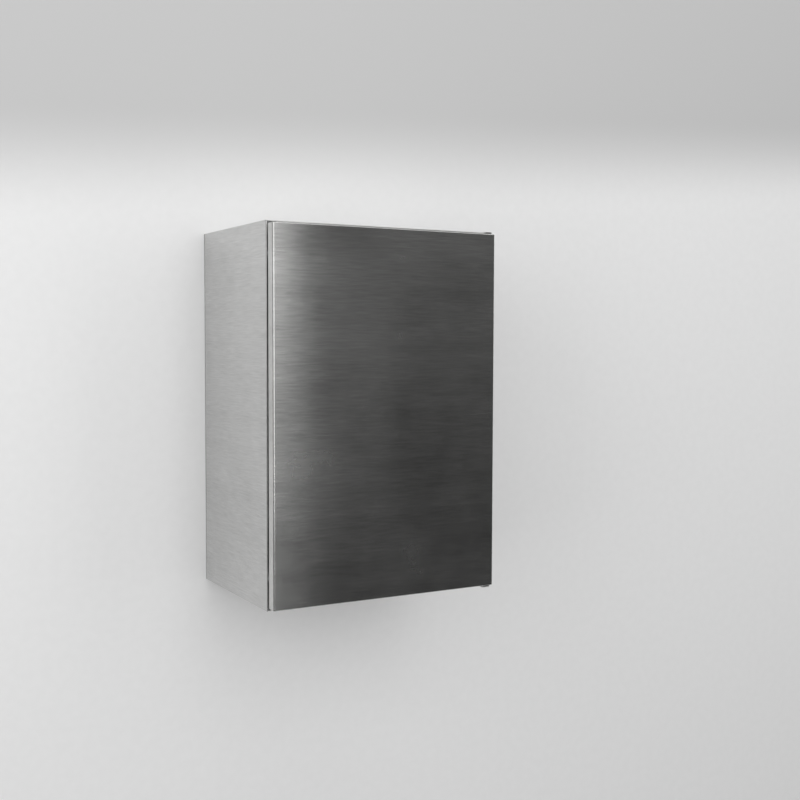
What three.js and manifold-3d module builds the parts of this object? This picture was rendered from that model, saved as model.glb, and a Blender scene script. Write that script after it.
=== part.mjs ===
// Wall-hung medicine cabinet in brushed stainless steel, with one door on pivot pins and a
// mirror on the door's inner face. Millimetres, +Z up. The origin is the centre of the back face,
// the one that lies on the wall; +X is to the right of someone facing the door, and the door
// faces -Y.
import * as THREE from "three";
import { mergeVertices } from "three/addons/utils/BufferGeometryUtils.js";
import Module from "manifold-3d";

const wasm = await Module();
wasm.setup();

// ---------------------------------------------------------------- driving dimensions
const WIDTH = 400;
const HEIGHT = 600;
const DEPTH = 300; // wall to door front
const SHEET = 1.2;
const AIR = 0.3; // gap left between pieces that touch

const DOOR_THICK = 17;
const DOOR_GAP = 8; // body front to door back
const DOOR_INSET = 5; // door is shorter than the body by this at top and bottom
const DOOR_EDGE_RADIUS = 3; // left and right edges of the door's front
const DOOR_END_RADIUS = 1.5; // its top and bottom edges
const DOOR_RIM = 15; // inner flange of the door pan

const FLANGE = 17; // front flange of the body, seen with the door open
const FLANGE_LIP = 9;
const BEND = 1; // bend radius of the sheet's middle line
const BACK_RIM = 10;

const PIVOT_FROM_SIDE = 9.5;
const PIVOT_FROM_FRONT = 10.5;
const PIN_RADIUS = 2.9;
const PLATE_WIDTH = 15;
const PLATE_THICK = 2.5;
const PLATE_NOSE = 5.5; // from the pivot to the plate's front end
const PLATE_CORNER = 2;
const PLATE_LENGTH = 60; // from the pivot to the plate's rear end

const SHELF_LEVELS = { lower: -100, upper: 100 };
const SHELF_LIP = 18;
const SHELF_UPSTAND = 14;
const RAIL_HALF_HEIGHT = 265;
const RAIL_WIDTH = 16;
const RAIL_DEPTH = 6;
const RAIL_SHEET = 1;
const RAIL_PITCH = 25;
const RAIL_SLOT = { width: 9, height: 3 };
const RAIL_Y = { front: -235, rear: -45 };

const MIRROR = { width: 300, height: 480, thick: 4 };
const CLIP_X = 95; // mirror clips, from the middle of the mirror
const CATCH_X = -172.5;
const ROUND_STEPS = 20;
const BEND_STEPS = 4;

// ---------------------------------------------------------------- places worked out from them
const LEFT = -WIDTH / 2;
const TOP = HEIGHT / 2;
const DOOR_FRONT = -DEPTH;
const DOOR_BACK = DOOR_FRONT + DOOR_THICK;
const BODY_FRONT = DOOR_BACK + DOOR_GAP;
const DOOR_TOP = TOP - DOOR_INSET;
const PIVOT_X = WIDTH / 2 - PIVOT_FROM_SIDE;
const PIVOT_Y = DOOR_FRONT + PIVOT_FROM_FRONT;
const PLATE_OUTER = TOP - SHEET - AIR; // face against the top or bottom sheet
const PLATE_INNER = PLATE_OUTER - PLATE_THICK;
const LINER_BACK = DOOR_BACK - SHEET - AIR; // face that carries the mirror
const MIRROR_BACK = LINER_BACK + AIR;
const MIRROR_FACE = MIRROR_BACK + MIRROR.thick;
const SIDE_INNER = WIDTH / 2 - SHEET;

// ---------------------------------------------------------------- materials
const steel = (name, color, roughness) =>
  new THREE.MeshStandardMaterial({ name, color, roughness, metalness: 1 });
const plastic = (name, color, roughness) =>
  new THREE.MeshStandardMaterial({ name, color, roughness, metalness: 0 });
const BRUSHED = steel("brushed_steel", 0x9a9a98, 0.35);
const INNER = steel("inner_steel", 0xa8a8a6, 0.4);
const FITTING = steel("fitting_steel", 0x8e8e8c, 0.3);
const MAGNET = steel("ferrite", 0x2b2b2d, 0.6);
const GLASS = steel("mirror", 0xdfe5e6, 0.03);
const NYLON = plastic("nylon", 0xe9e7e0, 0.45);
const RUBBER = plastic("bumper", 0xc9ccd0, 0.35);
const BOARD = plastic("core_board", 0xb59a72, 0.9);

// ---------------------------------------------------------------- shape helpers
function box([x0, x1], [y0, y1], [z0, z1]) {
  const made = new THREE.BoxGeometry(Math.abs(x1 - x0), Math.abs(y1 - y0), Math.abs(z1 - z0));
  return made.translate((x0 + x1) / 2, (y0 + y1) / 2, (z0 + z1) / 2);
}

// A closed section swept straight from one place to another along X, Y or Z. The section's own
// axes are the two that follow: Y and Z for X, X and Z for Y (swept backwards), X and Y for Z.
function prism(section, axis, from, to) {
  const options = { depth: Math.abs(to - from), bevelEnabled: false, curveSegments: ROUND_STEPS };
  const made = new THREE.ExtrudeGeometry(section, options);
  const x = new THREE.Vector3(1, 0, 0);
  const y = new THREE.Vector3(0, 1, 0);
  const z = new THREE.Vector3(0, 0, 1);
  const turned = new THREE.Matrix4();
  if (axis === "X") turned.makeBasis(y, z, x).setPosition(Math.min(from, to), 0, 0);
  if (axis === "Y") turned.makeBasis(x, z, y.clone().negate()).setPosition(0, Math.max(from, to), 0);
  if (axis === "Z") turned.makeBasis(x, y, z).setPosition(0, 0, Math.min(from, to));
  return made.applyMatrix4(turned);
}

const outline = (points) => new THREE.Shape(points.map(([u, v]) => new THREE.Vector2(u, v)));

// The section of a folded sheet: its middle line goes through the corners, with a round bend at
// each inner one, and the sheet lies half a thickness on both sides of it.
function foldedSheet(corners, thickness = SHEET, bend = BEND) {
  const line = corners.map(([u, v]) => new THREE.Vector2(u, v));
  const near = [];
  const far = [];
  const add = (point, normal) => {
    near.push(point.clone().addScaledVector(normal, thickness / 2));
    far.unshift(point.clone().addScaledVector(normal, -thickness / 2));
  };
  const leftOf = (d) => new THREE.Vector2(-d.y, d.x);
  const way = (i) => line[i + 1].clone().sub(line[i]).normalize();
  add(line[0], leftOf(way(0)));
  for (let i = 1; i < line.length - 1; i++) {
    const before = way(i - 1);
    const after = way(i);
    const turn = Math.sign(before.cross(after));
    const centre = line[i].clone().addScaledVector(before, -bend);
    centre.addScaledVector(leftOf(before), turn * bend);
    const sweep = before.angleTo(after);
    for (let s = 0; s <= BEND_STEPS; s++) {
      const normal = leftOf(before).rotateAround(new THREE.Vector2(), (turn * sweep * s) / BEND_STEPS);
      add(centre.clone().addScaledVector(normal, -turn * bend), normal);
    }
  }
  add(line[line.length - 1], leftOf(way(line.length - 2)));
  return new THREE.Shape([...near, ...far].reverse());
}

// A solid of revolution standing along Y, from a list of radius and place pairs that starts and
// ends on the axis.
function turnedAlongY(profile, x, z) {
  const points = profile.map(([radius, y]) => new THREE.Vector2(radius, y));
  return new THREE.LatheGeometry(points, ROUND_STEPS).translate(x, 0, z);
}

function rod(axis, radius, from, to, u, v) {
  const made = new THREE.CylinderGeometry(radius, radius, Math.abs(to - from), ROUND_STEPS);
  const middle = (from + to) / 2;
  if (axis === "Y") return made.translate(u, middle, v);
  return made.rotateX(Math.PI / 2).translate(u, v, middle);
}

// ---------------------------------------------------------------- cutting and joining
function solid(geometry) {
  const bare = geometry.index ? geometry.toNonIndexed() : geometry.clone();
  bare.deleteAttribute("normal");
  bare.deleteAttribute("uv");
  const merged = mergeVertices(bare, 1e-3);
  const vertProperties = new Float32Array(merged.attributes.position.array);
  const triVerts = new Uint32Array(merged.index.array);
  return new wasm.Manifold(new wasm.Mesh({ numProp: 3, vertProperties, triVerts }));
}

function cut(geometry, tools) {
  let left = solid(geometry);
  for (const tool of tools) left = left.subtract(solid(tool));
  return geometryOf(left);
}

const common = (one, other) => geometryOf(solid(one).intersect(solid(other)));

function join(geometries) {
  return geometryOf(geometries.map(solid).reduce((all, one) => all.add(one)));
}

function geometryOf(body) {
  const { vertProperties, triVerts } = body.getMesh();
  const made = new THREE.BufferGeometry();
  made.setAttribute("position", new THREE.BufferAttribute(vertProperties, 3));
  made.setIndex(new THREE.BufferAttribute(triVerts, 1));
  const flat = made.toNonIndexed();
  flat.computeVertexNormals();
  return flat;
}

// Mirroring turns a geometry's faces round, so each triangle is turned back.
function mirrored(geometry, sx, sz) {
  const made = geometry.index ? geometry.toNonIndexed() : geometry.clone();
  made.scale(sx, 1, sz);
  if (sx * sz > 0) return made;
  const p = made.attributes.position;
  const corner = new THREE.Vector3();
  for (let i = 0; i < p.count; i += 3) {
    corner.fromBufferAttribute(p, i + 1);
    p.setXYZ(i + 1, p.getX(i + 2), p.getY(i + 2), p.getZ(i + 2));
    p.setXYZ(i + 2, corner.x, corner.y, corner.z);
  }
  made.computeVertexNormals();
  return made;
}

const SIDES = { left: 1, right: -1 }; // shapes are drawn for the left and mirrored
const ENDS = { top: 1, bottom: -1 }; // shapes are drawn for the top and mirrored
const cabinet = new THREE.Group();

function add(name, geometry, material) {
  const mesh = new THREE.Mesh(geometry, material);
  mesh.name = name;
  cabinet.add(mesh);
}

// ---------------------------------------------------------------- the body
// Side panel: one folded sheet with a front flange and a small lip behind it. On the right the
// flange stops short of the ends, where the pivot plates come through.
function sidePanel(notched) {
  const section = foldedSheet([
    [LEFT + SHEET / 2, 0],
    [LEFT + SHEET / 2, BODY_FRONT + SHEET / 2],
    [LEFT + FLANGE - SHEET / 2, BODY_FRONT + SHEET / 2],
    [LEFT + FLANGE - SHEET / 2, BODY_FRONT + FLANGE_LIP],
  ]);
  const notch = (sign) =>
    box(
      [-SIDE_INNER + AIR / 2, LEFT + FLANGE + 1],
      [BODY_FRONT - 1, BODY_FRONT + FLANGE_LIP + 1],
      [sign * (notched ? PLATE_INNER - AIR : TOP - SHEET - AIR), sign * (TOP + 1)],
    );
  return cut(prism(section, "Z", -TOP, TOP), [notch(1), notch(-1)]);
}

// Top and bottom panel: folded like the sides and fitted between them, with the flange cut back
// to the flanges of the sides.
function endPanel() {
  const section = foldedSheet([
    [0, TOP - SHEET / 2],
    [BODY_FRONT + SHEET / 2, TOP - SHEET / 2],
    [BODY_FRONT + SHEET / 2, TOP - FLANGE + SHEET / 2],
    [BODY_FRONT + FLANGE_LIP, TOP - FLANGE + SHEET / 2],
  ]);
  const halfWidth = SIDE_INNER - 1.5 * AIR;
  const flangeEnd = -LEFT - FLANGE - AIR;
  const notch = (sign) =>
    box(
      [sign * flangeEnd, sign * (halfWidth + 1)],
      [BODY_FRONT - 1, BODY_FRONT + FLANGE_LIP + 1],
      [TOP - FLANGE - 1, TOP - SHEET],
    );
  return cut(prism(section, "X", -halfWidth, halfWidth), [notch(1), notch(-1)]);
}

// Keyhole for hanging on a wall screw: the head goes in below and the shank slides up the slot.
const KEYHOLE = { x: 140, z: 235, head: 6.5, shank: 3.5, rise: 20 };
const LOWER_HOLE = { x: 140, z: -250, radius: 4 };
function keyhole(x, y0, y1) {
  const { z, head, shank, rise } = KEYHOLE;
  return [
    rod("Y", head, y0, y1, x, z),
    box([x - shank, x + shank], [y0, y1], [z, z + rise]),
    rod("Y", shank, y0, y1, x, z + rise),
  ];
}

function backPanel() {
  const x = SIDE_INNER - AIR;
  const z = TOP - SHEET - AIR;
  const hollow = box(
    [-x + SHEET, x - SHEET],
    [-BACK_RIM - 1, -SHEET],
    [-z + SHEET, z - SHEET],
  );
  const holes = [-1, 1].flatMap((side) => [
    ...keyhole(side * KEYHOLE.x, -BACK_RIM, 1),
    rod("Y", LOWER_HOLE.radius, -BACK_RIM, 1, side * LOWER_HOLE.x, LOWER_HOLE.z),
  ]);
  return cut(box([-x, x], [-BACK_RIM, 0], [-z, z]), [hollow, ...holes]);
}

// Strip inside the back that the wall screws really bear on.
function hangingStrip() {
  const back = -SHEET - AIR;
  const front = back - 2;
  const plate = box([-188, 188], [front, back], [KEYHOLE.z - 22, KEYHOLE.z + 42]);
  const holes = [-1, 1].flatMap((side) => keyhole(side * KEYHOLE.x, front - 1, back + 1));
  return cut(plate, holes);
}

for (const [side, sx] of Object.entries(SIDES))
  add(`${side}_side_panel`, mirrored(sidePanel(side === "right"), sx, 1), BRUSHED);
for (const [end, sz] of Object.entries(ENDS))
  add(`${end}_panel`, mirrored(endPanel(), 1, sz), BRUSHED);
add("back_panel", backPanel(), BRUSHED);
add("hanging_strip", hangingStrip(), INNER);

// ---------------------------------------------------------------- shelf rails, clips, shelves
const RAIL_FOOT = -SIDE_INNER + AIR;
const RAIL_FACE = RAIL_FOOT + RAIL_DEPTH;

// Slotted channel standing on the side panel, open towards it.
function shelfRail(y) {
  const half = RAIL_WIDTH / 2 - RAIL_SHEET / 2;
  const web = RAIL_FACE - RAIL_SHEET / 2;
  const section = foldedSheet(
    [
      [RAIL_FOOT, y - half],
      [web, y - half],
      [web, y + half],
      [RAIL_FOOT, y + half],
    ],
    RAIL_SHEET,
    1.2,
  );
  const slots = [];
  const last = Math.floor((RAIL_HALF_HEIGHT - 15) / RAIL_PITCH);
  for (let n = -last; n <= last; n++) {
    const z = n * RAIL_PITCH;
    slots.push(
      box(
        [RAIL_FACE - 2, RAIL_FACE + 1],
        [y - RAIL_SLOT.width / 2, y + RAIL_SLOT.width / 2],
        [z - RAIL_SLOT.height / 2, z + RAIL_SLOT.height / 2],
      ),
    );
  }
  return cut(prism(section, "Z", -RAIL_HALF_HEIGHT, RAIL_HALF_HEIGHT), slots);
}

// Clip that hooks up behind the rail's face through a slot and carries a shelf corner.
const CLIP_THICK = 2;
function shelfClip(y, z) {
  const across = [
    [-3.4, 5],
    [-3.4, -1],
    [AIR, -1],
    [AIR, -10],
    [AIR + CLIP_THICK, -10],
    [AIR + CLIP_THICK, -1],
    [13, -1],
    [13, 1],
    [-1.4, 1],
    [-1.4, 5],
  ];
  const section = outline(across.map(([u, v]) => [RAIL_FACE + u, z + v]));
  const half = RAIL_SLOT.width / 2 - AIR;
  return prism(section, "Y", y - half, y + half);
}

// Shelf: one folded sheet with a hemmed front lip and an upstand at the back.
function shelf(level) {
  const front = -258;
  const rear = -BACK_RIM - 3;
  const z = level + CLIP_THICK / 2 + AIR + SHEET / 2;
  const section = foldedSheet([
    [front + 9, z - SHELF_LIP],
    [front, z - SHELF_LIP],
    [front, z],
    [rear, z],
    [rear, z + SHELF_UPSTAND],
  ]);
  const half = -RAIL_FACE - 1;
  return prism(section, "X", -half, half);
}

for (const [side, sx] of Object.entries(SIDES))
  for (const [place, y] of Object.entries(RAIL_Y))
    add(`shelf_rail_${side}_${place}`, mirrored(shelfRail(y), sx, 1), INNER);

for (const [name, level] of Object.entries(SHELF_LEVELS)) {
  add(`${name}_shelf`, shelf(level), INNER);
  for (const [side, sx] of Object.entries(SIDES))
    for (const [place, y] of Object.entries(RAIL_Y)) {
      const clip = mirrored(shelfClip(y, level), sx, 1);
      add(`shelf_clip_${name}_${side}_${place}`, clip, FITTING);
    }
}

// ---------------------------------------------------------------- pivots
// A plate comes out through the front flange at the top and bottom of the right side, and
// carries the pin that the door turns on. The plates are drawn on the left and mirrored.
// The notch in the flange keeps a plate from turning, so one screw holds it.
const PLATE_SCREW_Y = PIVOT_Y + 42;
function pivotPlate() {
  const half = PLATE_WIDTH / 2;
  const x = LEFT + PIVOT_FROM_SIDE;
  const rear = PIVOT_Y + PLATE_LENGTH;
  const nose = PIVOT_Y - PLATE_NOSE;
  const r = PLATE_CORNER;
  const face = new THREE.Shape();
  face.moveTo(x + half, rear);
  face.lineTo(x - half, rear);
  face.lineTo(x - half, nose + r);
  face.absarc(x - half + r, nose + r, r, Math.PI, 1.5 * Math.PI, false);
  face.lineTo(x + half - r, nose);
  face.absarc(x + half - r, nose + r, r, 1.5 * Math.PI, 2 * Math.PI, false);
  const hole = (radius, y) => rod("Z", radius, PLATE_INNER - 1, PLATE_OUTER + 1, x, y);
  const blank = prism(face, "Z", PLATE_INNER, PLATE_OUTER);
  return cut(blank, [hole(PIN_RADIUS + AIR, PIVOT_Y), hole(2 + AIR, PLATE_SCREW_Y)]);
}

// A domed screw head with its shank, standing along Z with the head below.
function plateScrew() {
  const x = LEFT + PIVOT_FROM_SIDE;
  const seat = PLATE_INNER - AIR / 3;
  const profile = [
    [0, seat - 2.2],
    [2, seat - 2.0],
    [3.2, seat - 1.2],
    [3.7, seat],
    [2, seat],
    [2, PLATE_OUTER],
    [0, PLATE_OUTER],
  ];
  const points = profile.map(([radius, z]) => new THREE.Vector2(radius, z));
  return new THREE.LatheGeometry(points, ROUND_STEPS).rotateX(Math.PI / 2).translate(x, PLATE_SCREW_Y, 0);
}

// Flanged nylon bush pressed into the door's end, with the pin running in it.
function pivotBush() {
  const top = DOOR_TOP + 0.7;
  const barrel = rod("Z", 4.2, DOOR_TOP - 8, DOOR_TOP + 0.2, -PIVOT_X, PIVOT_Y);
  const flange = rod("Z", 6, DOOR_TOP + 0.1, top, -PIVOT_X, PIVOT_Y);
  const bore = rod("Z", PIN_RADIUS + 0.15, DOOR_TOP - 9, top + 1, -PIVOT_X, PIVOT_Y);
  return cut(join([barrel, flange]), [bore]);
}

const pivotPin = () =>
  rod("Z", PIN_RADIUS, DOOR_TOP - 9.5, PLATE_OUTER - 0.1, -PIVOT_X, PIVOT_Y);

for (const [end, sz] of Object.entries(ENDS)) {
  add(`pivot_plate_${end}`, mirrored(pivotPlate(), -1, sz), FITTING);
  add(`plate_screw_${end}`, mirrored(plateScrew(), -1, sz), FITTING);
  add(`pivot_pin_${end}`, mirrored(pivotPin(), -1, sz), FITTING);
  add(`pivot_bush_${end}`, mirrored(pivotBush(), -1, sz), NYLON);
}

// ---------------------------------------------------------------- the door
// A flat section with its two front corners rounded, as points of place across and depth.
function roundedFront(half, front, back, radius) {
  const corner = (side) =>
    Array.from({ length: ROUND_STEPS / 4 + 1 }, (_, step) => {
      const angle = (side > 0 ? -1 : -2) * (Math.PI / 2) + (step / (ROUND_STEPS / 4)) * (Math.PI / 2);
      const centre = side * (half - radius);
      return [centre + radius * Math.cos(angle), front + radius + radius * Math.sin(angle)];
    });
  return [...corner(-1), ...corner(1), [half, back], [-half, back]];
}

// A slab the shape of the door, moved inwards, with all four of its front edges rounded.
function doorSlab(inset) {
  const x = WIDTH / 2 - inset;
  const z = DOOR_TOP - inset;
  const front = DOOR_FRONT + inset;
  const back = DOOR_BACK - inset;
  const plan = outline(roundedFront(x, front, back, DOOR_EDGE_RADIUS - inset));
  const section = roundedFront(z, front, back, DOOR_END_RADIUS - inset);
  const side = outline(section.map(([u, v]) => [v, u]));
  return common(prism(plan, "Z", -z, z), prism(side, "X", -x, x));
}

// Folded pan: the front, four returns and an inner rim that leaves the back open.
function doorSkin() {
  const inside = DOOR_TOP - SHEET;
  const rimX = WIDTH / 2 - DOOR_RIM;
  const rimZ = DOOR_TOP - DOOR_RIM;
  return cut(doorSlab(0), [
    doorSlab(SHEET),
    box([-rimX, rimX], [DOOR_BACK - SHEET - 1, DOOR_BACK + 1], [-rimZ, rimZ]),
    rod("Z", 4.4, inside - 1, DOOR_TOP + 1, PIVOT_X, PIVOT_Y),
    rod("Z", 4.4, -inside + 1, -DOOR_TOP - 1, PIVOT_X, PIVOT_Y),
  ]);
}

const MIRROR_SCREW_Z = MIRROR.height / 2 + 9.5;
const STRIKE_SCREW_Z = 18;
const doorScrewPlaces = [
  ...[-1, 1].flatMap((sz) => [-1, 1].map((sx) => [sx * CLIP_X, sz * MIRROR_SCREW_Z])),
  ...[-1, 1].map((sz) => [CATCH_X, sz * STRIKE_SCREW_Z]),
];

// Flat inner sheet behind the rim, drilled for the screws.
function doorLiner() {
  const sheet = box([-197, 197], [LINER_BACK - SHEET, LINER_BACK], [-286.5, 286.5]);
  const holes = doorScrewPlaces.map(([x, z]) =>
    rod("Y", 1.5 + AIR, LINER_BACK - SHEET - 1, LINER_BACK + 1, x, z),
  );
  return cut(sheet, holes);
}

// Filler board glued between the two skins.
function doorCore() {
  const back = LINER_BACK - SHEET - AIR;
  const board = box([-194, 194], [DOOR_FRONT + SHEET + AIR, back], [-285, 285]);
  const holes = doorScrewPlaces.map(([x, z]) => rod("Y", 2, back - 6, back + 1, x, z));
  return cut(board, holes);
}

function mirrorGlass() {
  const x = MIRROR.width / 2;
  const z = MIRROR.height / 2;
  return box([-x, x], [MIRROR_BACK, MIRROR_FACE], [-z, z]);
}

// Stepped clip: a foot screwed to the liner and a lip over the mirror's edge.
function mirrorClip() {
  const edge = MIRROR.height / 2;
  const lip = MIRROR_FACE + 0.4;
  const section = outline([
    [MIRROR_BACK, edge + 16],
    [MIRROR_BACK, edge + 0.5],
    [lip, edge + 0.5],
    [lip, edge - 7],
    [lip + 1.5, edge - 7],
    [lip + 1.5, edge + 2],
    [MIRROR_BACK + 1.5, edge + 2],
    [MIRROR_BACK + 1.5, edge + 16],
  ]);
  const hole = rod("Y", 1.5 + AIR, MIRROR_BACK - 1, MIRROR_BACK + 3, -CLIP_X, MIRROR_SCREW_Z);
  return cut(prism(section, "X", -CLIP_X - 7, -CLIP_X + 7), [hole]);
}

// Round-headed screw along Y: the head's seat is given, and the shank goes forwards from it.
function roundScrew(seat, x, z, shankLength, away = 1) {
  const at = (y) => seat + away * y;
  const profile = [
    [0, at(1.9)],
    [1.8, at(1.7)],
    [2.9, at(1.0)],
    [3.25, at(0.05)],
    [1.5, at(0.05)],
    [1.5, at(-shankLength)],
    [0, at(-shankLength)],
  ];
  return turnedAlongY(away > 0 ? profile.reverse() : profile, x, z);
}

function strikePlate() {
  const plate = box([CATCH_X - 10, CATCH_X + 10], [MIRROR_BACK, MIRROR_BACK + 1.5], [-25, 25]);
  const hole = (z) => rod("Y", 1.5 + AIR, MIRROR_BACK - 1, MIRROR_BACK + 3, CATCH_X, z);
  return cut(plate, [hole(STRIKE_SCREW_Z), hole(-STRIKE_SCREW_Z)]);
}

add("door_skin", doorSkin(), BRUSHED);
add("door_liner", doorLiner(), INNER);
add("door_core", doorCore(), BOARD);
add("mirror_glass", mirrorGlass(), GLASS);
for (const [end, sz] of Object.entries(ENDS))
  for (const [side, sx] of Object.entries(SIDES)) {
    add(`mirror_clip_${end}_${side}`, mirrored(mirrorClip(), sx, sz), FITTING);
    const screw = roundScrew(MIRROR_BACK + 1.5, -CLIP_X * sx, MIRROR_SCREW_Z * sz, 7);
    add(`mirror_screw_${end}_${side}`, screw, FITTING);
  }
add("strike_plate", strikePlate(), FITTING);
for (const [end, sz] of Object.entries(ENDS))
  add(
    `strike_screw_${end}`,
    roundScrew(MIRROR_BACK + 1.5, CATCH_X, STRIKE_SCREW_Z * sz, 6.5),
    FITTING,
  );

// ---------------------------------------------------------------- magnetic catch and bumpers
const BRACKET = { thick: 1.5, front: -262, rear: -246.5, half: 26 };
const CATCH_SEAT = BRACKET.front - AIR;
const CATCH_FACE = -279;
const CATCH_SCREW_Z = 19.5;
const EAR_FRONT = CATCH_SEAT - 2.5;

function catchBracket() {
  const wall = -SIDE_INNER + AIR;
  const legs = join([
    box([wall, wall + BRACKET.thick], [BRACKET.front, BRACKET.rear], [-BRACKET.half, BRACKET.half]),
    box(
      [wall, CATCH_X + 9.5],
      [BRACKET.front, BRACKET.front + BRACKET.thick],
      [-BRACKET.half, BRACKET.half],
    ),
  ]);
  const hole = (z) => rod("Y", 1.5 + AIR, BRACKET.front - 1, BRACKET.front + 3, CATCH_X, z);
  return cut(legs, [hole(CATCH_SCREW_Z), hole(-CATCH_SCREW_Z)]);
}

// Moulded housing with two screw ears and a pocket for the magnet.
function catchHousing() {
  const x = [CATCH_X - 8, CATCH_X + 8];
  const block = box(x, [CATCH_FACE, CATCH_SEAT], [-14, 14]);
  const ears = box(x, [EAR_FRONT, CATCH_SEAT], [-24.5, 24.5]);
  const pocket = box([CATCH_X - 4.6, CATCH_X + 4.6], [CATCH_FACE - 1, -268], [-12, 12]);
  const hole = (z) => rod("Y", 1.5 + AIR, EAR_FRONT - 1, CATCH_SEAT + 1, CATCH_X, z);
  return cut(join([block, ears]), [pocket, hole(CATCH_SCREW_Z), hole(-CATCH_SCREW_Z)]);
}

const catchMagnet = () => box([CATCH_X - 2.7, CATCH_X + 2.7], [-281.3, -268.3], [-11, 11]);
const polePlate = () => box([CATCH_X - 4.3, CATCH_X - 3], [-282.3, -268.3], [-11.5, 11.5]);

// Soft button on the left flange that the closed door rests on.
function bumper(z) {
  const seat = BODY_FRONT - 0.2;
  const end = DOOR_BACK + AIR;
  const profile = [
    [0, end],
    [3, end + 0.4],
    [4.4, end + 1.6],
    [5, end + 3.5],
    [5, seat],
    [0, seat],
  ];
  return turnedAlongY(profile, LEFT + FLANGE / 2, z);
}

add("catch_bracket", catchBracket(), INNER);
add("catch_housing", catchHousing(), NYLON);
add("catch_magnet", catchMagnet(), MAGNET);
add("catch_pole_left", polePlate(), FITTING);
add("catch_pole_right", polePlate().translate(7.3, 0, 0), FITTING);
for (const [end, sz] of Object.entries(ENDS)) {
  const screw = roundScrew(EAR_FRONT, CATCH_X, CATCH_SCREW_Z * sz, 6, -1);
  add(`catch_screw_${end}`, screw, FITTING);
  add(`bumper_${end}`, bumper(250 * sz), RUBBER);
}

export default cabinet;
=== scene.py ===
import math

import bmesh
import bpy
from mathutils import Matrix, Vector


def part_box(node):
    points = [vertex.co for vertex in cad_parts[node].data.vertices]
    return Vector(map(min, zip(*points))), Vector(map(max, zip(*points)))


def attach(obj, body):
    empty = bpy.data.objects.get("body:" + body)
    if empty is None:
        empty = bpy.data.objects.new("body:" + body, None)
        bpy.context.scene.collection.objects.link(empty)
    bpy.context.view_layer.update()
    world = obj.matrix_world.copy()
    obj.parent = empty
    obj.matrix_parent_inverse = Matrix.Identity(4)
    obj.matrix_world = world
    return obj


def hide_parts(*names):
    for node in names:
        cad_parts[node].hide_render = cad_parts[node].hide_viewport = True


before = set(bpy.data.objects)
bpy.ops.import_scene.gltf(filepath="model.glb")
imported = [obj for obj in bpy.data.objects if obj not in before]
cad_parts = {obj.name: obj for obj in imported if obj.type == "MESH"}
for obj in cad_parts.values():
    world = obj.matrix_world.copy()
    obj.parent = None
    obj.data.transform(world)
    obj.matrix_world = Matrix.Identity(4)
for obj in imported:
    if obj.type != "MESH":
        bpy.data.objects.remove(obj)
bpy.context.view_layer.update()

MM = 0.001
scene = bpy.context.scene
scene.view_settings.view_transform = "Standard"

# ---------------------------------------------------------------- the camera
# Stands in front of the cabinet and well to its left, level with the upper half, and looks a
# little down along the door.
CAMERA_PLACE = (-0.870, -1.886, 0.1185)
CAMERA_LENS_MM = 51.15
CAMERA_YAW, CAMERA_PITCH, CAMERA_ROLL = (math.radians(a) for a in (29.296, -3.016, 0.17))
ahead = Vector((math.sin(CAMERA_YAW) * math.cos(CAMERA_PITCH),
                math.cos(CAMERA_YAW) * math.cos(CAMERA_PITCH), math.sin(CAMERA_PITCH)))
level = Vector((math.cos(CAMERA_YAW), -math.sin(CAMERA_YAW), 0))
upright = level.cross(ahead)
rightwards = level * math.cos(CAMERA_ROLL) + upright * math.sin(CAMERA_ROLL)
upwards = upright * math.cos(CAMERA_ROLL) - level * math.sin(CAMERA_ROLL)
camera = bpy.data.objects.new("camera", bpy.data.cameras.new("camera"))
camera.data.lens = CAMERA_LENS_MM
camera.data.sensor_width = 36
turn = Matrix((rightwards, upwards, -ahead)).transposed().to_4x4()
camera.matrix_world = Matrix.Translation(CAMERA_PLACE) @ turn
scene.collection.objects.link(camera)
scene.camera = camera


# ---------------------------------------------------------------- the room
# A plain painted wall that the cabinet hangs on, and a pale floor below it. A painted shade
# darkens the wall's colour towards the top, along a line that rises a little to the right. It
# shows only from the room's side, so that the back of the cabinet can be looked at too.
class Value:
    """A socket of a node tree. Arithmetic on it adds the Math nodes that work it out."""

    def __init__(self, finish, socket):
        self.finish, self.socket = finish, socket

    def math(self, operation, *others, **more):
        sockets = dict(enumerate((self, *others)))
        return self.finish.node("ShaderNodeMath", {"operation": operation, **more}, sockets)[0]

    def __add__(self, other): return self.math("ADD", other)
    __radd__ = __add__
    def __mul__(self, other): return self.math("MULTIPLY", other)
    __rmul__ = __mul__
    def __sub__(self, other): return self.math("SUBTRACT", other)
    def clamped(self): return self.math("ADD", 0, use_clamp=True)


class Made:
    """A node that was made. Its outputs come back wrapped, by name or by number."""

    def __init__(self, finish, node):
        self.finish, self.made = finish, node

    def __getitem__(self, key):
        return Value(self.finish, self.made.outputs[key])


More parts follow.
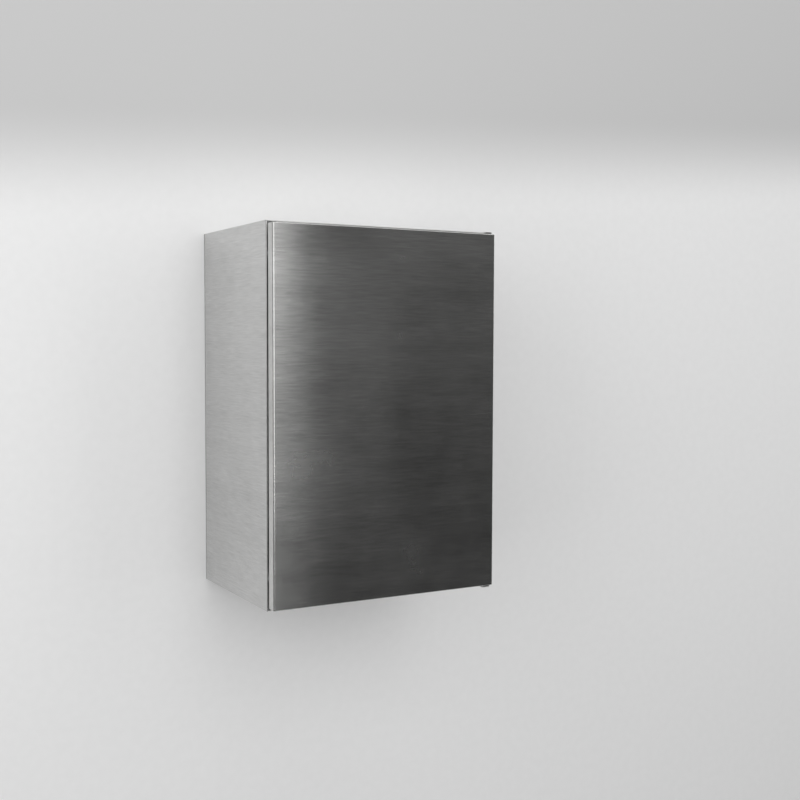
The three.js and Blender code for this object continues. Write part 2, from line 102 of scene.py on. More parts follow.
class Finish:
    """A material that is being written as expressions."""

    def __init__(self, name):
        self.material = bpy.data.materials.new(name)
        self.material.use_nodes = True
        self.tree = self.material.node_tree
        self.tree.nodes.clear()
        self.object = self.node("ShaderNodeTexCoord")["Object"]

    def node(self, kind, settings=None, sockets=None):
        made = self.tree.nodes.new(kind)
        for name, setting in (settings or {}).items():
            setattr(made, name, setting)
        for name, given in (sockets or {}).items():
            if isinstance(given, Value):
                self.tree.links.new(given.socket, made.inputs[name])
            else:
                made.inputs[name].default_value = given
        return Made(self, made)

    def place(self, scale):
        """Object coordinates stretched by a scale along each axis."""
        return self.node("ShaderNodeMapping", {"vector_type": "POINT"},
                         {"Vector": self.object, "Scale": scale})[0]

    def noise(self, vector, detail=2.0, roughness=0.5):
        return self.node("ShaderNodeTexNoise", None, {
            "Vector": vector, "Scale": 1.0, "Detail": detail, "Roughness": roughness})[0]

    def spread(self, value, low, high):
        """The value carried from its range to 0 and 1, and held between them."""
        return self.node("ShaderNodeMapRange", {"interpolation_type": "SMOOTHSTEP"}, {
            "Value": value, "From Min": low, "From Max": high})[0]

    def mix(self, factor, one, other):
        return self.node("ShaderNodeMix", {"data_type": "RGBA"}, {
            "Factor": factor, 6: one, 7: other})[2]

    def bump(self, height, strength, distance):
        return self.node("ShaderNodeBump", None, {
            "Height": height, "Strength": strength, "Distance": distance})[0]

    def surface(self, **sockets):
        named = {name.replace("_", " "): given for name, given in sockets.items()}
        shader = self.node("ShaderNodeBsdfPrincipled", None, named)[0]
        self.node("ShaderNodeOutputMaterial", None, {"Surface": shader})
        return self.material


def flat_sheet(name, corners, material):
    mesh = bpy.data.meshes.new(name)
    mesh.from_pydata(corners, [], [tuple(range(len(corners)))])
    mesh.materials.append(material)
    made = bpy.data.objects.new(name, mesh)
    scene.collection.objects.link(made)
    return made


WALL_TONE = (0.90, 0.90, 0.90, 1)
# Painted shade at the top of the wall: how dark it gets, the heights it spans and its rise to the
# right.
WALL_PAINTED_SHADE = 0.66
SHADE_FROM, SHADE_TO = 0.30, 0.50
SHADE_LEFT_END, SHADE_RISE = -0.5, 0.075
FLOOR_TONE = (0.78, 0.78, 0.77, 1)
FLOOR_LEVEL = -1.15
CONTACT = 0.004


def toned(tone, factor):
    return tuple(c * factor for c in tone[:3]) + (1,)


def painted(name, tone):
    """Rolled matt paint: its colour, mottled a little, and its fine relief."""
    paint = Finish(name)
    grain = paint.noise(paint.place((60, 60, 60)), detail=3)
    shade = paint.mix(paint.spread(grain, 0.3, 0.7), tone, toned(tone, 0.985))
    return paint, shade, paint.bump(grain, 0.05, 0.001)


wall_paint, shade, relief = painted("wall_paint", WALL_TONE)
place = wall_paint.node("ShaderNodeSeparateXYZ", None, {"Vector": wall_paint.object})
# Painted shade: the wall's colour darkens above a line that rises to the right.
height = place["Z"] - (place["X"] - SHADE_LEFT_END) * SHADE_RISE
shade = wall_paint.mix(wall_paint.spread(height, SHADE_FROM, SHADE_TO), shade,
                       toned(WALL_TONE, WALL_PAINTED_SHADE))
face = wall_paint.node("ShaderNodeBsdfDiffuse", None, {"Color": shade, "Normal": relief})[0]
clear = wall_paint.node("ShaderNodeBsdfTransparent")[0]
behind = wall_paint.node("ShaderNodeNewGeometry")["Backfacing"]
near = wall_paint.node("ShaderNodeLightPath")["Ray Length"].math("LESS_THAN", CONTACT)
face = wall_paint.node("ShaderNodeMixShader", None,
                       {0: behind.math("MAXIMUM", near), 1: face, 2: clear})[0]
wall_paint.node("ShaderNodeOutputMaterial", None, {"Surface": face})

floor_paint, shade, relief = painted("floor_paint", FLOOR_TONE)
face = floor_paint.node("ShaderNodeBsdfDiffuse", None, {"Color": shade, "Normal": relief})[0]
floor_paint.node("ShaderNodeOutputMaterial", None, {"Surface": face})

WALL_BACK = 0.0008
WALL_HALF, WALL_TOP, FLOOR_HALF = 4, 3, 6
wall = flat_sheet("wall", [(-WALL_HALF, WALL_BACK, FLOOR_LEVEL),
                           (WALL_HALF, WALL_BACK, FLOOR_LEVEL),
                           (WALL_HALF, WALL_BACK, WALL_TOP), (-WALL_HALF, WALL_BACK, WALL_TOP)],
                  wall_paint.material)
floor = flat_sheet("floor", [(x * FLOOR_HALF, y * FLOOR_HALF, FLOOR_LEVEL)
                             for x, y in ((-1, -1), (1, -1), (1, 1), (-1, 1))],
                   floor_paint.material)
wall.visible_shadow = False
wall.visible_diffuse = False
floor.visible_shadow = False
floor.visible_diffuse = False
floor.visible_glossy = False

# ---------------------------------------------------------------- the light
# A soft grey room with a bright ceiling by the wall. Tall soft boxes stand at the left and in
# front on the left, and dark screens in front on the right, so the steel of the door turns from
# light to dark along its width. A box that only lights shows in no steel.
world = bpy.data.worlds.new("surroundings")
scene.world = world
world.use_nodes = True
world.node_tree.nodes["Background"].inputs[0].default_value = (1, 1, 1, 1)
world.node_tree.nodes["Background"].inputs[1].default_value = 0.34
FRONT_PLANE = -2.9
LEFT_PLANE = -3.2
CEILING = 2.6


def facing(x, z):
    """Corners of an upright sheet on the plane in front of the cabinet."""
    return [(x[0], FRONT_PLANE, z[0]), (x[1], FRONT_PLANE, z[0]),
            (x[1], FRONT_PLANE, z[1]), (x[0], FRONT_PLANE, z[1])]


def lying(x, y, z):
    """Corners of a level sheet."""
    return [(x[0], y[0], z), (x[1], y[0], z), (x[1], y[1], z), (x[0], y[1], z)]


def panel(name, corners, radiance, lights=True, mirrored=True):
    """A glowing sheet. It can light what is matt, show in what is shiny, or do both."""
    light = Finish(name)
    glow = light.node("ShaderNodeEmission", None, {"Strength": radiance})[0]
    light.node("ShaderNodeOutputMaterial", None, {"Surface": glow})
    sheet = flat_sheet(name, corners, light.material)
    sheet.visible_camera = sheet.visible_shadow = sheet.visible_transmission = False
    sheet.visible_diffuse = lights
    sheet.visible_glossy = mirrored


BOX_FOOT = -0.75
SCREEN_FOOT, SCREEN_WAIST = -3.2, 0.2
BOX_WAIST = -0.3
BOX_END, GLOW_END, SCREEN_END = -0.7, -1.6, -0.05


def beside(y, z):
    """Corners of an upright sheet on the plane at the left of the cabinet."""
    return [(LEFT_PLANE, y[0], z[0]), (LEFT_PLANE, y[1], z[0]),
            (LEFT_PLANE, y[1], z[1]), (LEFT_PLANE, y[0], z[1])]


panel("left_box", beside((FRONT_PLANE, BOX_END), (FLOOR_LEVEL, CEILING)), 2.4, mirrored=False)
panel("left_screen_rear", beside((GLOW_END, SCREEN_END), (FLOOR_LEVEL, CEILING)), 0.02,
      lights=False)
panel("left_screen_foot", beside((FRONT_PLANE, GLOW_END), (FLOOR_LEVEL, BOX_WAIST)), 0.02,
      lights=False)
panel("left_glow", beside((FRONT_PLANE, GLOW_END), (BOX_WAIST, CEILING)), 1.1, lights=False)
panel("far_box_low", facing((-3.2, -0.4), (BOX_FOOT, BOX_WAIST)), 0.5)
panel("far_box_high", facing((-3.2, -0.4), (BOX_WAIST, CEILING)), 1.1)
panel("front_box", facing((-0.4, 0.4), (BOX_FOOT, CEILING)), 2.3)
panel("box_rim_low", facing((0.4, 0.75), (BOX_FOOT, SCREEN_WAIST)), 0.37)
panel("box_rim_high", facing((0.4, 0.75), (SCREEN_WAIST, CEILING)), 0.87)
panel("fill_box", facing((1.4, 3.2), (BOX_FOOT, CEILING)), 1.3, mirrored=False)
panel("ceiling", lying((LEFT_PLANE, -LEFT_PLANE), (-1.2, -0.02), CEILING), 2.0)
panel("foot_screen", facing((0.4, 1.4), (SCREEN_FOOT, BOX_FOOT)), 0.0, lights=False)
panel("near_screen_low", facing((0.75, 1.4), (BOX_FOOT, SCREEN_WAIST)), 0.12, lights=False)
panel("near_screen_high", facing((0.75, 1.4), (SCREEN_WAIST, 0.9)), 0.2, lights=False)
panel("near_screen_top", facing((0.75, 1.4), (0.9, CEILING)), 0.0, lights=False)
panel("far_screen_low", facing((1.4, 5.0), (SCREEN_FOOT, SCREEN_WAIST)), 0.05, lights=False)
panel("far_screen_high", facing((1.4, 5.0), (SCREEN_WAIST, CEILING)), 0.12, lights=False)
# A dark sheet over the floor in front, seen only in the steel: a painted shade that stands in for
# the floor in shadow.
panel("floor_shade_sheet", lying((-6, 6), (-6, -1.0), FLOOR_LEVEL + 0.01), 0.04, lights=False)

# ---------------------------------------------------------------- the body's sheets
# Two sides, a top and a bottom of 1.2 mm stainless steel, folded at the front, welded at the
# corners and ground, with a fine grain brushed along them. The back is a shallow tray of the
# same sheet, and a plain strip behind its keyholes takes the wall screws.
STEEL_TONE = (0.60, 0.60, 0.59)
# The sides' steel is toned a little darker than the door's: a painted shade on the sides.
SIDE_TONE = (0.58, 0.58, 0.575)
SATIN_TONE = (0.64, 0.64, 0.63)
FINE, BROAD, STREAKED, CLOUDED = 1.2, 0.35, 0.9, 0.9
SHEET_EDGE = 0.15 * MM


def brushed_steel(name, along, tone=STEEL_TONE, roughness=0.25, directed=0.9, cloudy=1.0):
    """Brushed sheet whose grain runs along an axis. Directed is how far it smears reflections
    across the grain; it only works on upright faces. Fine and broad grain, streaks and clouds
    each have their share in the tone."""
    steel = Finish(name)
    axis = "XYZ".index(along)

    def grain(across, lengthwise, detail):
        scale = [across] * 3
        scale[axis] = lengthwise
        return steel.noise(steel.place(scale), detail=detail, roughness=0.6)

    fine = grain(430.0, 28.0, 2)
    broad = grain(95.0, 1.4, 2)
    streak = grain(26.0, 3.5, 3)
    cloud = steel.noise(steel.place((8, 8, 6)), detail=4, roughness=0.6)
    shade = ((fine - 0.5) * FINE + (broad - 0.5) * BROAD + (streak - 0.5) * STREAKED * cloudy
             + (cloud - 0.5) * CLOUDED * cloudy)
    dark = tuple(c * 0.8 for c in tone) + (1,)
    light = tuple(min(c * 1.2, 1) for c in tone) + (1,)
    base = steel.mix((shade + 0.5).clamped(), dark, light)
    gloss = (cloud - 0.5) * 0.12 * cloudy + (streak - 0.5) * 0.06 * cloudy + roughness
    ripple = steel.noise(steel.place((5.5, 5.5, 0.6)), detail=1)
    lined = steel.bump(ripple, 1.0, 0.0008)
    return steel.surface(Base_Color=base, Metallic=1.0, Roughness=gloss, Normal=lined,
                         Anisotropic=directed, Anisotropic_Rotation=0.25)


def plain_mesh(piece):
    """The piece as its modifiers leave it, with the modifiers gone."""
    bpy.context.view_layer.update()
    seen = piece.evaluated_get(bpy.context.evaluated_depsgraph_get())
    mesh = bpy.data.meshes.new_from_object(seen)
    piece.modifiers.clear()
    old, piece.data = piece.data, mesh
    mesh.name = piece.name
    bpy.data.meshes.remove(old)
    return piece


def smooth(piece, degrees=32):
    piece.data.shade_smooth()
    piece.data.set_sharp_from_angle(angle=math.radians(degrees))
    return piece


def levelled(piece):
    """Keeps the shading of broad faces flat, right up to the bends around them."""
    piece.modifiers.new("level", "WEIGHTED_NORMAL").keep_sharp = True
    return plain_mesh(piece)


def fitted(piece, material, body, slot, *nodes):
    """Gives a finished piece its material and its body, and puts it in place of CAD nodes."""
    if material:
        piece.data.materials.clear()
        piece.data.materials.append(material)
    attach(piece, body)
    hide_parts(*nodes)
    return piece


def softened(node, name, edge, material, body, slot, steps=2):
    """A CAD node as it comes from the shop: the same shape, with its sharp edges broken."""
    work = bmesh.new()
    work.from_mesh(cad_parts[node].data)
    bmesh.ops.remove_doubles(work, verts=work.verts, dist=2e-6)
    bmesh.ops.dissolve_limit(work, angle_limit=math.radians(0.5), verts=work.verts,
                             edges=work.edges)
    mesh = bpy.data.meshes.new(name)
    work.to_mesh(mesh)
    work.free()
    piece = bpy.data.objects.new(name, mesh)
    scene.collection.objects.link(piece)
    bevel = piece.modifiers.new("edge", "BEVEL")
    bevel.width, bevel.segments, bevel.limit_method = edge, steps, "ANGLE"
    bevel.angle_limit = math.radians(40)
    bevel.use_clamp_overlap = True
    levelled(smooth(plain_mesh(piece)))
    return fitted(piece, material, body, slot, node)


side_steel = brushed_steel("side_steel", "Y", SIDE_TONE, cloudy=0.5)
front_steel = brushed_steel("front_steel", "X")
level_steel = brushed_steel("level_steel", "X", roughness=0.33, directed=0.0)
for side in ("left", "right"):
    softened(f"{side}_side_panel", f"{side}_side_sheet", SHEET_EDGE, side_steel, "cabinet",
             "brushed_steel")
for end in ("top", "bottom"):
    softened(f"{end}_panel", f"{end}_sheet", SHEET_EDGE, level_steel, "cabinet",
             "brushed_steel")
softened("back_panel", "back_sheet", SHEET_EDGE, front_steel, "cabinet", "brushed_steel")

satin_steel = brushed_steel("satin_steel", "X", SATIN_TONE, 0.36, 0.35, 0.8)
satin_level_steel = brushed_steel("satin_level_steel", "X", SATIN_TONE, 0.36, 0.0, 0.8)
softened("hanging_strip", "wall_screw_strip", SHEET_EDGE, satin_steel, "cabinet", "inner_steel")

# ---------------------------------------------------------------- rails, clips and shelves
# Slotted channels of 1 mm sheet spot-welded to the sides. Pressed steel clips hook into the
# slots, and the two shelves, folded down in front and up at the back, lie on them.
FITTING_TONE = (0.56, 0.56, 0.55)
upright_satin = brushed_steel("upright_satin_steel", "Z", SATIN_TONE, 0.34, 0.0, 0.6)
clip_steel = brushed_steel("clip_steel", "Z", FITTING_TONE, 0.28, 0.0, 0.5)
for side in ("left", "right"):
    for place in ("front", "rear"):
        softened(f"shelf_rail_{side}_{place}", f"slotted_rail_{side}_{place}", 0.12 * MM,
                 upright_satin, "cabinet", "inner_steel", 1)
for level in ("lower", "upper"):
    softened(f"{level}_shelf", f"{level}_folded_shelf", SHEET_EDGE, satin_level_steel, "cabinet",
             "inner_steel")
    for side in ("left", "right"):
        for place in ("front", "rear"):
            corner = f"{level}_{side}_{place}"
            softened(f"shelf_clip_{corner}", f"pressed_clip_{corner}", 0.2 * MM, clip_steel,
                     "cabinet", "fitting_steel")

# ---------------------------------------------------------------- pivots
# Stainless plates come out of the body over and under the door's right corner, each with a
# turned pin. Flanged white nylon bushes in the door's ends run on the pins.
plate_steel = brushed_steel("plate_steel", "Y", FITTING_TONE, 0.3, 0.0, 0.5)
for end in ("top", "bottom"):
    softened(f"pivot_plate_{end}", f"hinge_plate_{end}", 0.25 * MM, plate_steel, "cabinet",
             "fitting_steel")


def centre_of(node):
    low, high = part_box(node)
    return (low + high) / 2


def turned(name, profile, centre, axis, steps=48):
    """A solid of revolution from pairs of radius and place, standing along an axis through the
    centre. The first and the last pair close the profile, so a bore is drawn as a loop."""
    work = bmesh.new()
    rings = []
    for radius, along in profile:
        if radius < 1e-7:
            rings.append([work.verts.new((0, 0, along))])
            continue
        angles = (2 * math.pi * step / steps for step in range(steps))
        rings.append([work.verts.new((radius * math.cos(a), radius * math.sin(a), along))
                      for a in angles])
    closed = len(rings[0]) > 1
    pairs = zip(rings, rings[1:] + ([rings[0]] if closed else []))
    for one, other in pairs:
        for step in range(steps):
            ahead_step = (step + 1) % steps
            around = {ring[i % len(ring)]: None for ring, i in (
                (one, step), (one, ahead_step), (other, ahead_step), (other, step))}
            if len(around) > 2:
                work.faces.new(list(around))
    bmesh.ops.recalc_face_normals(work, faces=work.faces)
    swing = {"X": Matrix.Rotation(math.pi / 2, 4, "Y"), "Z": Matrix.Identity(4),
             "Y": Matrix.Rotation(-math.pi / 2, 4, "X")}[axis]
    bmesh.ops.transform(work, matrix=Matrix.Translation(centre) @ swing, verts=work.verts)
    mesh = bpy.data.meshes.new(name)
    work.to_mesh(mesh)
    work.free()
    piece = bpy.data.objects.new(name, mesh)
    scene.collection.objects.link(piece)
    return smooth(piece, 38)


def moulded(name, tone, roughness, speck=0.03, mottled=90.0):
    """Moulded plastic or rubber: a faint mottle, a fine spark-eroded grain and soft gloss."""
    resin = Finish(name)
    mottle = resin.noise(resin.place((mottled,) * 3), detail=4)
    grain = resin.noise(resin.place((2600,) * 3), detail=2)
    low = tuple(c * (1 - 3 * speck) for c in tone) + (1,)
    base = resin.mix(resin.spread(mottle, 0.35, 0.7), low, (*tone, 1))
    gloss = (mottle - 0.5) * 0.2 + (grain - 0.5) * 0.1 + roughness
    return resin.surface(Base_Color=base, Roughness=gloss, Normal=resin.bump(grain, 0.25, 0.00005),
                         Specular_IOR_Level=0.45)


nylon = moulded("white_nylon", (0.80, 0.79, 0.75), 0.42)
turned_steel = Finish("turned_steel")
lathe_marks = turned_steel.noise(turned_steel.place((120, 120, 5200)), detail=2)
turned_steel = turned_steel.surface(
    Base_Color=turned_steel.mix(lathe_marks, (0.50, 0.50, 0.49, 1), (0.66, 0.66, 0.65, 1)),
    Metallic=1.0, Roughness=lathe_marks * 0.15 + 0.16,
    Normal=turned_steel.bump(lathe_marks, 0.2, 0.00005))
for end, way in (("top", 1), ("bottom", -1)):
    low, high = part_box(f"pivot_pin_{end}")
    radius, half = (high.x - low.x) / 2, (high.z - low.z) / 2
    nose = [(0, -half), (radius * 0.7, -half), (radius, -half + 0.9 * MM),
            (radius, half - 0.2 * MM), (radius - 0.2 * MM, half), (0, half)]
    pin = turned(f"turned_pin_{end}", [(r, way * z) for r, z in nose], (low + high) / 2, "Z")
    fitted(pin, turned_steel, "cabinet", "fitting_steel", f"pivot_pin_{end}")

    low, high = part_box(f"pivot_bush_{end}")
    flange, half, bore = (high.x - low.x) / 2, (high.z - low.z) / 2, radius + 0.12 * MM
    barrel, seat = flange - 1.8 * MM, half - 0.65 * MM
    ring = [(bore, half - 0.3 * MM), (bore + 0.3 * MM, half), (flange - 0.3 * MM, half),
            (flange, half - 0.25 * MM), (flange, seat), (barrel, seat), (barrel, -half + 0.4 * MM),
            (barrel - 0.4 * MM, -half), (bore, -half)]
    bush = turned(f"nylon_bush_{end}", [(r, way * z) for r, z in ring], (low + high) / 2, "Z")
    fitted(bush, nylon, "door", "nylon", f"pivot_bush_{end}")

# ---------------------------------------------------------------- the door
# A pan folded from one sheet: its left front edge is bent to 3 mm and the others to 1.5, its
# corners are welded and dressed round, and a rim is folded in at the back over the liner. A board
# fills it.
DOOR_SHEET = 1.2 * MM
DOOR_EDGE = 3.0 * MM
DOOR_END_EDGE = 1.5 * MM
DOOR_RIM = 15 * MM
RIM_BEND = 0.8 * MM
PIVOT_HOLE, HOLE_REACH = 4.3 * MM, 9 * MM


def door_pan():
    low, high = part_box("door_skin")
    work = bmesh.new()
    corners = [(low.x, low.z), (high.x, low.z), (high.x, high.z), (low.x, high.z)]
    inner = [(low.x + DOOR_RIM, low.z + DOOR_RIM), (high.x - DOOR_RIM, low.z + DOOR_RIM),
             (high.x - DOOR_RIM, high.z - DOOR_RIM), (low.x + DOOR_RIM, high.z - DOOR_RIM)]
    front = [work.verts.new((x, low.y, z)) for x, z in corners]
    back = [work.verts.new((x, high.y, z)) for x, z in corners]
    rim = [work.verts.new((x, high.y, z)) for x, z in inner]
    work.faces.new(front)
    for i in range(4):
        j = (i + 1) % 4
        work.faces.new((front[j], front[i], back[i], back[j]))
        work.faces.new((back[j], back[i], rim[i], rim[j]))
    bmesh.ops.recalc_face_normals(work, faces=work.faces)
    share = work.edges.layers.float.new("bevel_weight_edge")
    for edge in work.edges:
        one, other = (v.co for v in edge.verts)
        upright = abs(one.z - other.z) > MM
        if abs(one.y - other.y) > MM:
            edge[share] = DOOR_END_EDGE / DOOR_EDGE
        elif one.y == low.y:
            folded = upright and one.x == low.x
            edge[share] = 1 if folded else DOOR_END_EDGE / DOOR_EDGE
        elif len(edge.link_faces) == 2 and edge.calc_face_angle() > 1:
            edge[share] = RIM_BEND / DOOR_EDGE
    mesh = bpy.data.meshes.new("door_pan")
    work.to_mesh(mesh)
    work.free()
    pan = bpy.data.objects.new("door_pan", mesh)
    scene.collection.objects.link(pan)
    folds = pan.modifiers.new("folds", "BEVEL")
    folds.width, folds.segments, folds.limit_method = DOOR_EDGE, 8, "WEIGHT"
    folds.use_clamp_overlap = False
    wall_thickness = pan.modifiers.new("sheet", "SOLIDIFY")
    wall_thickness.thickness, wall_thickness.offset = DOOR_SHEET, -1
    wall_thickness.use_even_offset = True
    tools = []
    for end in ("top", "bottom"):
        place = centre_of(f"pivot_bush_{end}")
        drill = turned(f"drill_{end}", [(0, -HOLE_REACH), (PIVOT_HOLE, -HOLE_REACH),
                                        (PIVOT_HOLE, HOLE_REACH), (0, HOLE_REACH)], place, "Z")
        hole = pan.modifiers.new("hole", "BOOLEAN")
        hole.object, hole.operation, hole.solver = drill, "DIFFERENCE", "EXACT"
        tools.append(drill)
    plain_mesh(pan)
    for tool in tools:
        bpy.data.objects.remove(tool)
    return smooth(pan, 40)


fitted(door_pan(), brushed_steel("door_steel", "X"), "door", "brushed_steel", "door_skin")
softened("door_liner", "inner_liner", 0.1 * MM, satin_steel, "door", "inner_steel", 1)

board = Finish("filler_board")
chips = board.noise(board.place((700, 700, 700)), detail=4)
shives = board.noise(board.place((90, 400, 160)), detail=3)
board = board.surface(Base_Color=board.mix(board.spread(chips * 0.6 + shives * 0.4, 0.35, 0.65),
                                           (0.30, 0.20, 0.11, 1), (0.58, 0.44, 0.28, 1)),
                      Roughness=0.85, Normal=board.bump(chips, 0.4, 0.0002))
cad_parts["door_core"].data.materials.clear()
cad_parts["door_core"].data.materials.append(board)

# ---------------------------------------------------------------- the mirror
# A sheet of 4 mm silvered float glass with polished edges, held on the liner by four stepped
# clips. Its edges show the green of the glass.
MIRROR_ARRIS = 1.0 * MM


def mirror_sheet():
    low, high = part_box("mirror_glass")
    work = bmesh.new()
    bmesh.ops.create_cube(work, size=1.0)
    size, middle = high - low, (low + high) / 2
    bmesh.ops.transform(work, matrix=Matrix.Translation(middle) @ Matrix.Diagonal((*size, 1)),
                        verts=work.verts)
    shown = [e for e in work.edges if all(abs(v.co.y - high.y) < 1e-6 for v in e.verts)]
    hidden = [e for e in work.edges if all(abs(v.co.y - low.y) < 1e-6 for v in e.verts)]
    bmesh.ops.bevel(work, geom=shown, offset=MIRROR_ARRIS, segments=3, profile=0.7,
                    affect="EDGES")
    bmesh.ops.bevel(work, geom=[e for e in hidden if e.is_valid], offset=0.4 * MM, segments=1,
                    affect="EDGES")
    mesh = bpy.data.meshes.new("mirror")
    work.to_mesh(mesh)
    work.free()
    piece = bpy.data.objects.new("mirror_sheet", mesh)
    scene.collection.objects.link(piece)
    return smooth(piece, 25)


silver = Finish("silvered_glass")
wiped = silver.noise(silver.place((14, 14, 9)), detail=5, roughness=0.65)
film = silver.spread(wiped, 0.52, 0.78)
silver_face = silver.surface(
    Base_Color=silver.mix(film, (0.86, 0.89, 0.885, 1), (0.80, 0.83, 0.825, 1)),
    Metallic=1.0, Roughness=film * 0.05 + 0.012)
edge = Finish("glass_edge")
ground = edge.noise(edge.place((500, 500, 500)), detail=3)
glass_edge = edge.surface(
    Base_Color=edge.mix(ground, (0.16, 0.33, 0.27, 1), (0.42, 0.60, 0.53, 1)),
    Roughness=ground * 0.2 + 0.08, Specular_IOR_Level=0.8, Metallic=0.25)
glass = mirror_sheet()
glass.data.materials.append(silver_face)
glass.data.materials.append(glass_edge)
for face in glass.data.polygons:
    face.material_index = 0 if abs(face.normal.y) > 0.98 else 1
fitted(glass, None, "door", "mirror", "mirror_glass")
for end in ("top", "bottom"):
    for side in ("left", "right"):
        softened(f"mirror_clip_{end}_{side}", f"glass_clip_{end}_{side}", 0.2 * MM, clip_steel,
                 "door", "fitting_steel")

# ---------------------------------------------------------------- the catch and the bumpers
# A white nylon body screwed to a steel bracket holds a ferrite magnet between two pole plates,
# and they pull on a steel plate on the door. Two soft domes on the body's edge take the knock.
softened("catch_bracket", "catch_angle", 0.15 * MM, clip_steel, "cabinet", "inner_steel")
softened("catch_housing", "catch_body", 0.4 * MM, nylon, "cabinet", "nylon", 3)
ferrite = moulded("ferrite", (0.055, 0.055, 0.06), 0.5, 0.12, 400.0)
softened("catch_magnet", "catch_bar_magnet", 0.3 * MM, ferrite, "cabinet", "ferrite")
for side in ("left", "right"):
    softened(f"catch_pole_{side}", f"catch_pole_{side}_plate", 0.15 * MM, clip_steel, "cabinet",
             "fitting_steel")
softened("strike_plate", "catch_strike", 0.2 * MM, clip_steel, "door", "fitting_steel")

rubber = moulded("soft_bumper", (0.56, 0.58, 0.60), 0.3, 0.04, 200.0)
for end in ("top", "bottom"):
    low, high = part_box(f"bumper_{end}")
    radius, half = (high.x - low.x) / 2, (high.y - low.y) / 2
    dome = [(0, -half)]
    for step in range(1, 9):
        bend = step / 8 * math.pi / 2
        dome.append((radius * math.sin(bend), -half + half * 1.5 * (1 - math.cos(bend))))
    dome += [(radius, half - 0.3 * MM), (radius - 0.3 * MM, half), (0, half)]
    bumper = turned(f"soft_dome_{end}", dome, (low + high) / 2, "Y")
    fitted(bumper, rubber, "cabinet", "bumper", f"bumper_{end}")

# ---------------------------------------------------------------- the screws
# Stainless pan-head screws with a cross recess, rolled and tumbled. One Geometry Nodes tree
# makes the head and the shank and sets them on each place, turned its own way.
HEAD_RADIUS = 3.2 * MM
HEAD_HEIGHT = 1.9 * MM
SHANK_RADIUS = 1.45 * MM
CROSS_LENGTH = 3.4 * MM
CROSS_WIDTH = 0.75 * MM
CROSS_DEPTH = 1.1 * MM

screw_steel = Finish("screw_steel")
tumbled = screw_steel.noise(screw_steel.place((900, 900, 900)), detail=3)
screw_steel = screw_steel.surface(
    Base_Color=screw_steel.mix(tumbled, (0.46, 0.46, 0.45, 1), (0.70, 0.70, 0.69, 1)),
    Metallic=1.0, Roughness=tumbled * 0.2 + 0.14, Normal=screw_steel.bump(tumbled, 0.25, 0.00004))


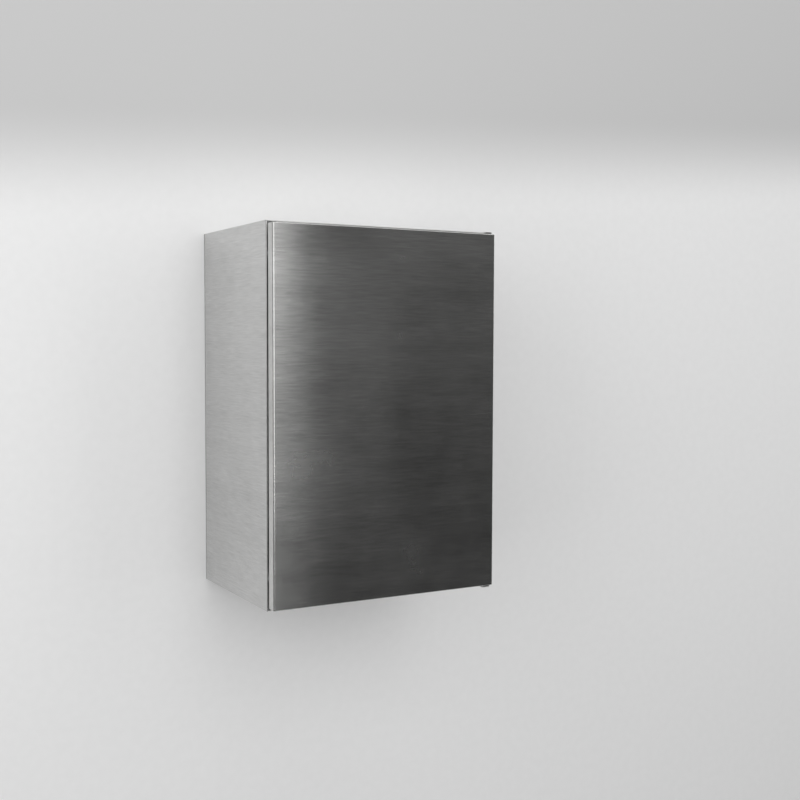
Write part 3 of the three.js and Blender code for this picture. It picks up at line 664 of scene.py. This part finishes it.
def screw_tree(material):
    tree = bpy.data.node_groups.new("screws_on_places", "GeometryNodeTree")
    face = tree.interface
    face.new_socket("Geometry", in_out="INPUT", socket_type="NodeSocketGeometry")
    sizes = (("Head Radius", HEAD_RADIUS), ("Head Height", HEAD_HEIGHT),
             ("Shank Radius", SHANK_RADIUS), ("Cross Length", CROSS_LENGTH),
             ("Cross Width", CROSS_WIDTH), ("Cross Depth", CROSS_DEPTH))
    for name, value in sizes:
        socket = face.new_socket(name, in_out="INPUT", socket_type="NodeSocketFloat")
        socket.default_value = value
    face.new_socket("Seed", in_out="INPUT", socket_type="NodeSocketInt").default_value = 7
    face.new_socket("Geometry", in_out="OUTPUT", socket_type="NodeSocketGeometry")

    def add(kind, settings=None, **sockets):
        """A node whose sockets are given by name, or by number as i0, i1 and so on."""
        node = tree.nodes.new(kind)
        for name, setting in (settings or {}).items():
            setattr(node, name, setting)
        for name, given in sockets.items():
            key = int(name[1:]) if name[1:].isdigit() else name.replace("_", " ")
            for each in given if isinstance(given, list) else [given]:
                if isinstance(each, bpy.types.NodeSocket):
                    tree.links.new(each, node.inputs[key])
                else:
                    node.inputs[key].default_value = each
        return node

    def maths(operation, one, other):
        return add("ShaderNodeMath", {"operation": operation}, i0=one, i1=other).outputs[0]

    def vector(**parts):
        return add("ShaderNodeCombineXYZ", None, **parts).outputs[0]

    def block(size, lift):
        cube = add("GeometryNodeMeshCube", None, Size=size).outputs[0]
        return add("GeometryNodeTransform", None, Geometry=cube,
                   Translation=vector(Z=lift)).outputs[0]

    def boolean(operation, kept, others):
        sockets = {"i1": others} if kept is None else {"i0": kept, "i1": others}
        return add("GeometryNodeMeshBoolean", {"operation": operation, "solver": "EXACT"},
                   **sockets).outputs[0]

    given = add("NodeGroupInput").outputs
    height = given["Head Height"]
    ball = add("GeometryNodeMeshUVSphere", None, Segments=32, Rings=20,
               Radius=given["Head Radius"]).outputs[0]
    squash = vector(X=1.0, Y=1.0, Z=maths("DIVIDE", height, given["Head Radius"]))
    dome = add("GeometryNodeTransform", None, Geometry=ball, Scale=squash).outputs[0]
    wide = maths("MULTIPLY", given["Head Radius"], 4.0)
    above = block(vector(X=wide, Y=wide, Z=maths("MULTIPLY", height, 2.0)), height)
    dome = boolean("INTERSECT", None, [dome, above])
    depth = given["Cross Depth"]
    arms = [block(vector(X=given[f"Cross {x}"], Y=given[f"Cross {y}"],
                         Z=maths("MULTIPLY", depth, 2.0)), height)
            for x, y in (("Length", "Width"), ("Width", "Length"))]
    head = boolean("DIFFERENCE", dome, arms)
    rod = add("GeometryNodeMeshCylinder", None, Vertices=32, Radius=given["Shank Radius"],
              Depth=1.0).outputs[0]
    rod = add("GeometryNodeTransform", None, Geometry=rod, Translation=(0, 0, -0.5)).outputs[0]

    def on_each(piece, scale):
        way = add("GeometryNodeInputNamedAttribute", {"data_type": "FLOAT_VECTOR"},
                  Name="facing").outputs[0]
        turn = add("FunctionNodeAlignRotationToVector", {"axis": "Z"}, Vector=way).outputs[0]
        spin = add("FunctionNodeRandomValue", {"data_type": "FLOAT"}, i2=0.0,
                   i3=math.pi / 2, Seed=given["Seed"]).outputs[1]
        about = add("FunctionNodeAxisAngleToRotation", None, Axis=(0, 0, 1),
                    Angle=spin).outputs[0]
        both = add("FunctionNodeRotateRotation", {"rotation_space": "LOCAL"}, Rotation=turn,
                   Rotate_By=about).outputs[0]
        size = add("GeometryNodeInputNamedAttribute", {"data_type": "FLOAT_VECTOR"},
                   Name=scale).outputs[0]
        placed = add("GeometryNodeInstanceOnPoints", None, Points=given["Geometry"],
                     Instance=piece, Rotation=both, Scale=size)
        return add("GeometryNodeRealizeInstances", None, Geometry=placed.outputs[0]).outputs[0]

    both = add("GeometryNodeJoinGeometry", None,
               Geometry=[on_each(head, "head"), on_each(rod, "shank")]).outputs[0]
    dressed = add("GeometryNodeSetMaterial", None, Geometry=both, Material=material).outputs[0]
    add("NodeGroupOutput", None, Geometry=dressed)
    return tree


def screws(name, body, tree, places):
    """Screws at places: the CAD node that each stands for, and the way its head looks."""
    seats, heads, shanks = [], [], []
    for node, way in places:
        low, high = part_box(node)
        way = Vector(way)
        long = abs((high - low).dot(way))
        seats.append((low + high) / 2 + way * (long / 2 - HEAD_HEIGHT))
        broad = sorted(high - low)[1] / 2 / HEAD_RADIUS
        heads.append((broad, broad, 1))
        shanks.append((1, 1, long - HEAD_HEIGHT))
    mesh = bpy.data.meshes.new(name)
    mesh.from_pydata(seats, [], [])
    fields = {"facing": [way for _, way in places], "head": heads, "shank": shanks}
    for field, values in fields.items():
        held = mesh.attributes.new(field, "FLOAT_VECTOR", "POINT")
        for item, value in zip(held.data, values):
            item.vector = value
    piece = bpy.data.objects.new(name, mesh)
    scene.collection.objects.link(piece)
    made = piece.modifiers.new("screws", "NODES")
    made.node_group = tree
    seed = next(socket for socket in tree.interface.items_tree if socket.name == "Seed")
    made[seed.identifier] = 7 + len(places)
    plain_mesh(piece)
    fitted(smooth(piece, 35), None, body, "fitting_steel", *[node for node, _ in places])


tree = screw_tree(screw_steel)
ends = ("top", "bottom")
screws("door_screws", "door", tree,
       [(f"mirror_screw_{end}_{side}", (0, 1, 0)) for end in ends for side in ("left", "right")]
       + [(f"strike_screw_{end}", (0, 1, 0)) for end in ends])
screws("cabinet_screws", "cabinet", tree,
       [(f"catch_screw_{end}", (0, -1, 0)) for end in ends]
       + [("plate_screw_top", (0, 0, -1)), ("plate_screw_bottom", (0, 0, 1))])
